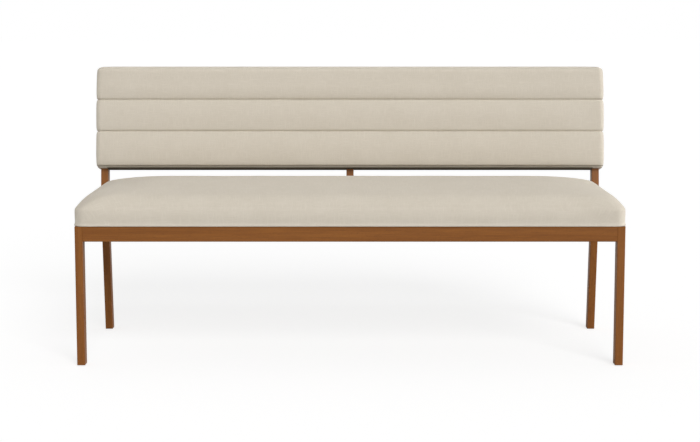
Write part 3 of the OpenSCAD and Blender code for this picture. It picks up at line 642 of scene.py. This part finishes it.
def insetOf(s, x, y, halfX, halfY):  # which ring of the seat a place on its crown lies on
    low, high = np.full(x.shape, 0.0), np.full(x.shape, halfY - 0.01)
    growth = np.where(y < 0, s["frontGrowth"], s["rearGrowth"])
    for _ in range(30):
        mid = (low + high) / 2
        r = np.minimum(planRadius(s, mid, growth), (halfY - mid) * 0.9)
        qx, qy = np.abs(x) - (halfX - mid - r), np.abs(y) - (halfY - mid - r)
        outside = np.hypot(np.maximum(qx, 0), np.maximum(qy, 0)) + np.minimum(np.maximum(qx, qy), 0) - r
        low, high = np.where(outside < 0, mid, low), np.where(outside < 0, high, mid)
    return (low + high) / 2


def seatForm(s):  # points in mm, faces, each point's place on the flat cloth and its ring level
    halfX, halfY = bench["frameWidth"] / 2, s["depth"] / 2
    countX = round(2 * halfX / s["cell"]) + 10
    countY = round(2 * halfY / s["cell"]) + 10
    section = seatSection(s)
    rings, places = [], []
    for inset, z in section[::-1]:
        front, rear = (float(planRadius(s, inset, s[end])) for end in ("frontGrowth", "rearGrowth"))
        ring = roundedRing(halfX - inset, halfY - inset, front, rear, countX, countY, s["cornerDense"])
        if rings:
            step = math.dist((inset, z), last)
            along = rings[0][:, :2] - np.roll(rings[0][:, :2], 1, 0)
            along = along + np.roll(along, -1, 0)
            outward = np.stack([along[:, 1], -along[:, 0]], 1) / np.linalg.norm(along, axis=1)[:, None]
            places.append(places[-1] + outward * step)
        else:
            places.append(ring)
        rings.append(np.column_stack([ring, np.full(len(ring), z)]))
        last = (inset, z)
    rings, places = rings[::-1], places[::-1]
    count, levels = len(rings[0]), len(rings)
    faces = ringWalls(levels, count)
    # the field of the crown and the one hidden inside the hem: grids within the end rings
    points, level = [np.concatenate(rings)], [np.repeat(np.arange(levels), count)]
    u = np.linspace(0, 1, countX + 1)[:, None, None]
    v = np.linspace(0, 1, countY + 1)[None, :, None]
    for k, number in ((levels - 1, levels), (0, 0)):
        rim = rings[k][:, :2]
        front, right = rim[: countX + 1], rim[countX : countX + countY + 1]
        rear = rim[countX + countY : 2 * countX + countY + 1][::-1]
        left = np.concatenate([rim[2 * countX + countY :], rim[:1]])[::-1]
        field = (1 - v) * front[:, None] + v * rear[:, None] + (1 - u) * left[None] + u * right[None]
        nearEdge = (1 - u) * (1 - v) * front[0] + u * (1 - v) * front[-1]
        field = field - (nearEdge + (1 - u) * v * rear[0] + u * v * rear[-1])
        inner = field[1:-1, 1:-1].reshape(-1, 2)
        z = rings[0][0, 2]
        if number:
            z = crownHeight(s, insetOf(s, inner[:, 0], inner[:, 1], halfX, halfY))
        index = np.full((countX + 1, countY + 1), -1)
        index[:, 0] = k * count + np.arange(countX + 1)
        index[-1, :] = k * count + countX + np.arange(countY + 1)
        index[::-1, -1] = k * count + countX + countY + np.arange(countX + 1)
        index[0, ::-1] = k * count + (2 * countX + countY + np.arange(countY + 1)) % count
        index[1:-1, 1:-1] = sum(map(len, points)) + np.arange(len(inner)).reshape(countX - 1, countY - 1)
        faces += gridFaces(index if number else index[:, ::-1])
        points.append(np.column_stack([inner, np.broadcast_to(z, len(inner))]))
        places.append(inner)
        level.append(np.full(len(inner), number))
    points = np.concatenate(points)
    points[:, 1] += halfY
    up = (points[:, 2] - bench["railTop"] - s["softenUp"]) / s["softenSpan"]
    nearEnd = ease(np.abs(points[:, 0]), halfX - s["softenEnd"][1], halfX - s["softenEnd"][0])
    inside = ease(points[:, 1], *s["softenIn"])
    points[:, 1] += s["soften"] * np.exp(-(up**2)) * (1 - nearEnd) * (1 - inside)
    return points, faces, np.concatenate(places), np.concatenate(level)


seatPoints, seatFaces, seatPlace, seatLevel = seatForm(seat)
seatFree = ease(seatPoints[:, 2] - bench["railTop"], *seat["freeUp"])
seatPoints[:, 2] += seat["evenness"] * seatFree * ripple(seatPlace[:, 0], seatPlace[:, 1], seat["waves"])
seatCushion = makePiece("seatCushion", toRow(seatPoints), seatFaces)
setClothPlace(seatCushion, np.column_stack([seatPlace, np.zeros(len(seatPlace))]) * mm)
fillOut(seatCushion, seatFree, np.where(seatLevel <= seat["heldRings"], 1 - seatFree, 0), seat)
seatCushion.data.materials.append(upholstery)
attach(seatCushion, "root")
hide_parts("seat_cover", "seat_wadding", "seat_foam")
print("seat made with", len(seatPoints), "points")

# Back: one cover sewn into three channels that wrap round the ends and tuck in at the seams
back = {
    "low": 119,  # lower edge above the rails, up the posts
    "strip": 4,  # height of the strip that is turned under the back
    "stripRows": (0, 0.25, 0.5, 0.65),
    "channels": (105.2, 96.2, 100.9),
    "padSide": 11.3,  # padding past the posts
    "topSide": 1.9,  # the highest channel narrows by this
    "face": -39.8,  # front and rear, from the line of the posts
    "rear": 40.5,
    "underDrop": 5.2,  # the underside falls to the rear by this
    "dip": 6.8,  # how far the channels draw in towards their seams, in front and at the ends
    "sideDip": 2.4,
    "slot": 3.6,  # how much deeper the sewn line itself is drawn in
    "sideSlot": 2.2,
    "seam": 2.2,  # half the height of that line
    "lowSlot": 11,  # the lowest seam is a slot of this depth and half height, and hardly shows at the ends
    "lowSeam": 1.4,
    "lowSeamEnds": 0.3,
    "lowRows": (0, 1.1, 1.5),  # rows at that slot, in steps of the channel
    "lowTuck": 12.2,  # how far the lowest channel tucks under
    "lowSide": 1.4,
    "lowFront": 5,  # the strip under the lowest seam leans back by this, and by a share of it at the ends
    "lowFrontEnds": 0.6,
    "square": 2.6,  # how flat the channels are between their seams, and how sharply they turn in there
    "lowSquare": 2.35,
    "sideSquare": 6,
    "sharp": 0.6,
    "endRadius": 15,
    "topRadius": 17,
    "rearRadius": 4,
    "cell": 13,
    "endCells": 6,
    "lidCells": 6,
    "steps": 18,  # rows in each channel
    "roundSteps": 7,
    "waves": [(310, 190, 0.9, 0.5), (-140, 260, 2.2, 0.3), (63, 900, 4.4, 0.2)],
    "smaller": 1.4,
    "give": 0.2,
    "evenness": 0.25,
    "yarnMass": 0.3,
    "stretch": 60,
    "shear": 30,
    "bend": 1,
    "pressure": 4,
    "frames": 12,
    "mostMm": 2.6,
    "evenPasses": 6,
}


def channelPuff(s, t, square):
    return max(1 - abs(2 * t - 1) ** square, 0) ** s["sharp"]


def backLevels(s):  # (height, front inset, end inset, fall to the rear, rear inset, freedom)
    seams = s["low"] + s["strip"] + np.concatenate([[0], np.cumsum(s["channels"])])
    top = seams[-1]
    half = s["steps"] // 2
    rows = []
    slotShare = 0.775  # where the slot's lower side lies on the strip
    for share in (*s["stripRows"], slotShare):
        lean = s["lowFront"] * (1 - share)
        front = s["lowTuck"] + (s["lowSlot"] if share == slotShare else lean)
        side = s["lowSide"] + s["lowFrontEnds"] * lean
        rows.append([s["low"] + s["strip"] * share, front, side, s["underDrop"], 0, 0])
    for k, height in enumerate(s["channels"]):
        last = half if k == 2 else s["steps"]
        for i in range(1, last + 1) if k else [*s["lowRows"], *range(2, last + 1)]:
            t = (1 - math.cos(math.pi * i / s["steps"])) / 2
            z = seams[k] + height * t
            low = k == 0 and i <= half
            puff = channelPuff(s, t, s["lowSquare"] if low else s["square"])
            sidePuff = channelPuff(s, t, s["sideSquare"])
            slot = max(1 - min(t, 1 - t) * height / s["seam"], 0) ** 1.5
            front = s["dip"] * (1 - puff) + s["slot"] * slot
            if low:
                front = s["lowTuck"] * (1 - puff) + s["lowSlot"] * (height * t < s["lowSeam"])
            side = (s["lowSide"] if low else s["sideDip"]) * (1 - sidePuff)
            side += s["sideSlot"] * slot * (s["lowSeamEnds"] if low else 1)
            if k == 2:
                side += s["topSide"] * t
            fall = s["underDrop"] * max(1 - (z - s["low"]) / s["channels"][0], 0)
            rows.append([z, front, side, fall, 0, puff])
    for a in np.radians(np.linspace(0, 90, s["roundSteps"] + 1))[1:]:
        inward = s["topRadius"] * (1 - math.cos(a))
        z = top - s["topRadius"] + s["topRadius"] * math.sin(a)
        share = (z - seams[2]) / s["channels"][2]
        rows.append([z, inward, inward + s["topSide"] * share, 0, s["rearRadius"] * (1 - math.cos(a)), 1])
    return np.array(rows)


def backRing(s, level, countX, countEnd):
    z, front, side, fall, rear = level[:5]
    halfX = bench["frameWidth"] / 2 + s["padSide"] - side
    n0, n1 = s["face"] + front, s["rear"] - rear
    r, rr = s["endRadius"], max(s["rearRadius"] - rear, 0.4)
    x = np.linspace(-halfX + r, halfX - r, countX + 1)
    turn = np.radians(np.linspace(0, 90, 9))[1:-1]
    frontLine = np.stack([x, np.full(len(x), n0)], 1)
    frontTurn = np.stack([halfX - r + r * np.sin(turn), n0 + r - r * np.cos(turn)], 1)
    ends = np.linspace(n0 + r, n1 - rr, countEnd + 1)
    endLine = np.stack([np.full(len(ends), halfX), ends], 1)
    rearTurn = np.radians(np.linspace(0, 90, 4))[1:-1]
    rearTurn = np.stack([halfX - rr + rr * np.cos(rearTurn), n1 - rr + rr * np.sin(rearTurn)], 1)
    rearLine = np.stack([np.linspace(halfX - rr, -halfX + rr, countX + 1), np.full(countX + 1, n1)], 1)
    half = np.concatenate([frontTurn, endLine, rearTurn])
    ring = np.concatenate([frontLine, half, rearLine, half[::-1] * [-1, 1]])
    drop = fall * (ring[:, 1] - s["face"]) / (s["rear"] - s["face"])
    return np.column_stack([ring, z - drop])


def backForm(s):
    halfX = bench["frameWidth"] / 2 + s["padSide"]
    countX = round(2 * (halfX - s["endRadius"]) / s["cell"])
    rings = np.array([backRing(s, level, countX, s["endCells"]) for level in backLevels(s)])
    levels, count = rings.shape[:2]
    faces = ringWalls(levels, count)
    free = [backLevels(s)[:, 5].repeat(count)]
    # lid and floor: strips that join the front row to the rear row
    between = count - 2 * (countX + 1)
    sideCount = between // 2
    frontRow = np.arange(countX + 1)
    rearRow = countX + 1 + sideCount + np.arange(countX + 1)
    rightRow = np.arange(countX + 1, countX + 1 + sideCount)
    leftRow = np.arange(2 * (countX + 1) + sideCount, count)
    points = rings.reshape(-1, 3)
    extra = []
    for level, flip in ((levels - 1, False), (0, True)):
        start = level * count
        ring = rings[level]
        across = s["lidCells"]
        table = np.zeros((countX + 1, across + 1), int)
        table[:, 0] = start + frontRow
        table[:, -1] = start + rearRow[::-1]
        for k in range(1, across):
            share = k / across
            row = ring[frontRow] * (1 - share) + ring[rearRow[::-1]] * share
            table[:, k] = len(points) + sum(len(e) for e in extra) + np.arange(countX + 1)
            extra.append(row)
            free.append(np.full(len(row), 0.0 if flip else 1.0))
        lid = gridFaces(table)
        right = [int(table[-1, k]) for k in range(across, -1, -1)] + [start + int(i) for i in rightRow]
        left = [int(table[0, k]) for k in range(across + 1)] + [start + int(i) for i in leftRow]
        faces += [tuple(f[::-1]) if flip else tuple(f) for f in lid]
        faces += [tuple(right[::-1]) if flip else tuple(right), tuple(left[::-1]) if flip else tuple(left)]
    return np.concatenate([points, *extra]), faces, np.concatenate(free)


backPoints, backFaces, backFree = backForm(back)
backFree = backFree * (1 - ease(backPoints[:, 1], back["rear"] - 10, back["rear"] - 2))
top = back["low"] + back["strip"] + sum(back["channels"])
backPoints[:, 1] -= back["evenness"] * backFree * ripple(backPoints[:, 0], backPoints[:, 2], back["waves"])
backCushion = makePiece("backCushion", toRow(onBack(backPoints)), backFaces)
x, n, up = backPoints.T
past = n - back["face"]  # the cloth runs on round the ends and over the top
over = ease(up, top - back["topRadius"], top - 2)
onEnd = ease(np.abs(x), bench["frameWidth"] / 2 - 8, bench["frameWidth"] / 2 + 8)
backPlace = np.column_stack([x + np.sign(x) * past * onEnd * (1 - over), up + past * over, 0 * up])
setClothPlace(backCushion, backPlace * mm)
fillOut(backCushion, backFree, 1 - np.clip(backFree * 1.6, 0, 1), back)
backCushion.data.materials.append(upholstery)
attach(backCushion, "root")
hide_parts("back_cover", "back_wadding", "back_foam_low", "back_foam_middle", "back_foam_top")
print("back made with", len(backPoints), "points")

# Rear panel: a flat piece of the same cloth, turned under at its edges and sewn on by hand
rearPanel = {
    "halfWidth": 765.8,
    "low": 118,  # lower and upper edge, up the posts
    "high": 418,
    "thick": 1.2,
    "gap": 0.05,  # to the cushion, and the least thickness of the edge
    "edgeRound": 1.6,
    "edgeRows": np.array([0, 0.5, 1.2, 2.4]),
    "edgeBand": 5,  # the even rows start this far in
    "fullness": 1.1,  # wadding under it lifts the middle
    "fullOver": 70,
    "evenness": 0.15,
    "waves": [(230, 170, 1.1, 0.6), (-120, 310, 2.7, 0.4)],
    "stitch": 9,  # distance of the hand stitches, which pull the edge in
    "pull": 0.3,
    "pullOver": 3,
    "cellX": 6,
    "cellUp": 7.5,
}
s = rearPanel


def edgedRows(s, length, cell):  # even rows with a few close ones at both edges
    even = np.linspace(s["edgeBand"], length - s["edgeBand"], round(length / cell))
    return np.concatenate([s["edgeRows"], even, length - s["edgeRows"][::-1]])


wide, tall = 2 * s["halfWidth"], s["high"] - s["low"]
xs, ups = edgedRows(s, wide, s["cellX"]) - s["halfWidth"], edgedRows(s, tall, s["cellUp"]) + s["low"]
x, up = np.meshgrid(xs, ups, indexing="ij")
fromSide = s["halfWidth"] - np.abs(x)
fromEnd = np.minimum(up - s["low"], s["high"] - up)
toEdge = np.minimum(fromSide, fromEnd)
along = np.where(fromSide < fromEnd, up, x)
roundOff = np.sqrt(1 - np.clip(1 - toEdge / s["edgeRound"], 0, 1) ** 2)
stitches = 0.5 + 0.5 * np.cos(2 * math.pi * along / s["stitch"])
lift = s["thick"] * roundOff + s["fullness"] * ease(toEdge, 2, s["fullOver"])
lift = lift - s["pull"] * np.exp(-toEdge / s["pullOver"]) * roundOff * stitches
lift = lift + s["evenness"] * ease(toEdge, 4, 40) * ripple(x, up, s["waves"])
outer = onBack(np.stack([x, back["rear"] + 2 * s["gap"] + lift, up], -1))
inner = onBack(np.stack([x, np.full(x.shape, back["rear"] + s["gap"]), up], -1))
backRearPanel = twoSided("backRearPanel", outer[::-1], inner[::-1])
setClothPlace(backRearPanel, np.tile(np.stack([-x, up, 0 * x], -1)[::-1].reshape(-1, 3), (2, 1)) * mm)
backRearPanel.data.materials.append(upholstery)
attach(backRearPanel, "root")
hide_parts("back_rear_cover")
print("rear panel made")

# Dust cloth under the back, between the posts. Its dark tone is partly painted shade for the strip under the back
underBack = {
    "halfWidth": 739.5,
    "front": -26,
    "rear": 38.5,
    "thick": 0.9,
    "below": 0.4,  # gap to the cushion
    "slack": 0.5,
    "waves": [(88, 1e4, 0.4, 0.6), (-37, 160, 1.3, 0.4)],
    "cell": 12,
    "rows": 9,
}
s = underBack
wide, deep = 2 * s["halfWidth"], s["rear"] - s["front"]
xs = np.linspace(-s["halfWidth"], s["halfWidth"], round(wide / s["cell"]) + 1)
x, n = np.meshgrid(xs, np.linspace(s["front"], s["rear"], s["rows"]), indexing="ij")
fall = back["underDrop"] * (n - back["face"]) / (back["rear"] - back["face"])
high = back["low"] - fall - s["below"]
inEdge = ease(np.minimum(n - s["front"], s["rear"] - n), 2, 18)
slack = s["slack"] * inEdge * (0.6 + 0.4 * ripple(x, n, s["waves"]))
outer, inner = (onBack(np.stack([x, n, high - drop], -1)) for drop in (s["thick"] + slack, slack))
backDustCloth = twoSided("backDustCloth", outer[:, ::-1], inner[:, ::-1])
# dark cloth whose tone is partly painted shade
backDustCloth.data.materials.append(underClothAndPaintedShade)
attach(backDustCloth, "root")
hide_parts("back_dust_cover")

# Dust cloth under the seat, stapled to the deck and slack between the cross rails
underSeat = {
    "inset": 23,  # from the frame's outer faces
    "thick": 1.0,
    "gap": 0.1,  # to the deck
    "slack": 2.4,
    "waves": [(140, 900, 0.5, 0.6), (75, -210, 2.0, 0.4)],
    "cellX": 11,
    "cellY": 12,
}
s = underSeat


def woodBox(name):  # lowest and highest corner of a solid in mm from the front face
    low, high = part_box(name)
    return [np.array([v.x, v.y - frontFace, v.z]) / mm for v in (low, high)]


crossRails = [woodBox("cross_rail_" + side) for side in ("left", "centre", "right")]
blocks = [woodBox("corner_block_" + corner) for corner in corners]
insideX = woodBox("side_rail_right")[0][0]
insideFront, insideRear = woodBox("front_rail")[1][1], woodBox("rear_bearer")[0][1]
halfX, nearY, farY = bench["frameWidth"] / 2 - s["inset"], s["inset"], seat["depth"] - s["inset"]
edges = np.array([-insideX, *sorted(v for low, high in crossRails for v in (low[0], high[0])), insideX])
xs = np.linspace(-halfX, halfX, round(2 * halfX / s["cellX"]))
x, y = np.meshgrid(xs, np.linspace(nearY, farY, round((farY - nearY) / s["cellY"])), indexing="ij")
bay = np.clip(np.searchsorted(edges, x, side="right") - 1, 0, len(edges) - 2)
share = (x - edges[bay]) / (edges[bay + 1] - edges[bay])
openBay = (bay % 2 == 0) & (np.abs(x) < insideX)
deep = np.clip((y - insideFront) / (insideRear - insideFront), 0, 1)
sag = np.where(openBay, (np.sin(math.pi * np.clip(share, 0, 1)) * np.sin(math.pi * deep)) ** 0.8, 0)
sag = s["slack"] * sag * (0.8 + 0.2 * ripple(x, y, s["waves"]))
outer, inner = (np.stack([x, y, bench["railTop"] + s["gap"] + rise - sag], -1) for rise in (0, s["thick"]))
seatDustCloth = twoSided("seatDustCloth", outer[:, ::-1], inner[:, ::-1])
# the same dark cloth, its tone partly painted shade
seatDustCloth.data.materials.append(underClothAndPaintedShade)
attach(seatDustCloth, "root")
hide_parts("seat_dust_cover")

# Staples of that cloth, in a row along the rails wherever no other wood is in the way
staple = {
    "long": 10,
    "wire": 1.2,  # width of the flat wire
    "flat": 0.7,  # its thickness as a share of that
    "pitch": 48,
    "fromWood": 7,  # how far inside the rails
    "fromCorner": (24, 20),
    "clear": 8,  # distance kept from the cross rails and corner blocks
    "skew": 9,  # degrees
    "crown": [(-0.5, -0.4), (-0.44, 0.45), (-0.3, 0.6), (0.3, 0.6), (0.44, 0.45), (0.5, -0.4)],  # along, and down
    "wireRound": [(-1, 0), (-0.6, 0.5), (0.6, 0.5), (1, 0), (0.6, -0.5), (-0.6, -0.5)],
}
s = staple
first, last = s["fromCorner"]
spots = []
for y in (insideFront + s["fromWood"], insideRear - s["fromWood"]):
    spots += [(x, y, 0) for x in np.arange(-insideX + first, insideX - last, s["pitch"])]
for x in (-insideX + s["fromWood"], insideX - s["fromWood"]):
    spots += [(x, y, 90) for y in np.arange(insideFront + first, insideRear - last, s["pitch"])]
points, faces, count, gap = [], [], 0, s["clear"]
for x, y, turn in spots:
    if any(a[0] - gap < x < b[0] + gap and a[1] - gap < y < b[1] + gap for a, b in crossRails + blocks):
        continue
    lean = math.radians(turn + s["skew"] * math.sin(x * 1.7 + y))  # hand-driven, so never quite in line
    along = np.array([math.cos(lean), math.sin(lean), 0])
    across = np.array([-math.sin(lean), math.cos(lean), 0])
    start = len(points)
    for at, drop in s["crown"]:
        middle = np.array([x, y, bench["railTop"] - drop]) + along * at * s["long"]
        for side, up in s["wireRound"]:
            points.append(middle + across * side * s["wire"] / 2 + np.array([0, 0, up * s["wire"] * s["flat"]]))
    caps = [tuple(range(6))[::-1], tuple(range(30, 36))]
    faces += [tuple(start + i for i in f) for f in ringWalls(6, 6) + caps]
    count += 1
underStaples = makePiece("underStaples", toRow(points), faces)
underStaples.data.materials.append(steel)
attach(underStaples, "root")
print("dust cloths made, with", count, "staples")

# camera and studio
view = {"lens": 85, "film": 36, "place": (0, -4.8257, 0.9724), "tilt": 82.9}  # mm, metres and degrees
camera = bpy.data.cameras.new("camera")
camera.lens, camera.sensor_width = view["lens"], view["film"]
cameraObject = bpy.data.objects.new("camera", camera)
cameraObject.location = view["place"]
cameraObject.rotation_euler = (math.radians(view["tilt"]), 0, 0)
bpy.context.scene.collection.objects.link(cameraObject)
bpy.context.scene.camera = cameraObject

studio = {
    "skyLow": 0.52,  # soft light from all round the horizon, and from straight above
    "skyHigh": 0.22,
    "lamps": {  # strength, degrees to the right of the camera's side, degrees up, softness
        "keyLamp": (1.75, 17, 29, 30),
        "sideLamp": (2.12, 88, 15, 34),
        "leftLamp": (0.7, -84, 12, 60),
        "rearLamp": (0.6, 180, 18, 60),
    },
    "floorSize": 60,  # metres from the middle
    "floor": "#ebebeb",
    "floorLift": 0.44,  # how much of the floor the camera sees as plain white
    "floorWhite": 1.66,
}


def addSun(name, level, turn, up, soft):
    sun = bpy.data.lights.new(name, "SUN")
    sun.energy = level
    sun.angle = math.radians(soft)
    lamp = bpy.data.objects.new(name, sun)
    lamp.rotation_euler = (math.radians(90 - up), 0, math.radians(turn))
    bpy.context.scene.collection.objects.link(lamp)
    return lamp


lamps = {name: addSun(name, *lamp) for name, lamp in studio["lamps"].items()}

# the world lights the object softly, and stays plain white wherever it is seen itself
world = bpy.data.worlds.new("studio")
bpy.context.scene.world = world
world.use_nodes = True
air = world.node_tree
air.nodes.clear()
path = addNode(air, "LightPath")
seen = path.outputs["Is Camera Ray"]
for ray in ("Is Glossy Ray", "Is Transmission Ray"):
    seen = addNode(air, "Math", {"operation": "MAXIMUM"}, {0: seen, 1: path.outputs[ray]}).outputs[0]
aim = addNode(air, "SeparateXYZ", links={0: addNode(air, "TexCoord").outputs["Generated"]}).outputs[2]
limits = {"To Min": studio["skyLow"], "To Max": studio["skyHigh"]}
skyLevel = addNode(air, "MapRange", limits, {"Value": aim}).outputs[0]
level = addNode(air, "Mix", {3: 1.0}, {0: seen, 2: skyLevel}).outputs[0]
sky = addNode(air, "Background", {"Color": (1, 1, 1, 1)}, {"Strength": level})
addNode(air, "OutputWorld", links={"Surface": sky.outputs[0]})

floorMaterial, tree = newMaterial("pale studio floor")
onCamera = addNode(tree, "LightPath").outputs["Is Camera Ray"]
share = addNode(tree, "Math", {"operation": "MULTIPLY", 1: studio["floorLift"]}, {0: onCamera}).outputs[0]
matt = addNode(tree, "BsdfDiffuse", {"Color": hexToLinear(studio["floor"])}).outputs[0]
white = addNode(tree, "Emission", {"Color": (1, 1, 1, 1), "Strength": studio["floorWhite"]}).outputs[0]
closeMaterial(tree, addNode(tree, "MixShader", {}, {0: share, 1: matt, 2: white}))
half = studio["floorSize"]
square = [(-half, -half, 0), (half, -half, 0), (half, half, 0), (-half, half, 0)]
floor = makePiece("floor", square, [(0, 1, 2, 3)], smooth=False)
floor.data.materials.append(floorMaterial)
floor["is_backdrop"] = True
plainFloor = bpy.data.collections.new("plainFloor")  # only the key lamp leaves a shadow on it
plainFloor.objects.link(floor)
plainFloor.collection_objects[0].light_linking.link_state = "EXCLUDE"
for name in ("sideLamp", "leftLamp", "rearLamp"):
    lamps[name].light_linking.receiver_collection = plainFloor

bpy.context.scene.view_settings.view_transform = "Standard"
print("studio lit by", len(lamps), "lamps")

low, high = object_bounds()
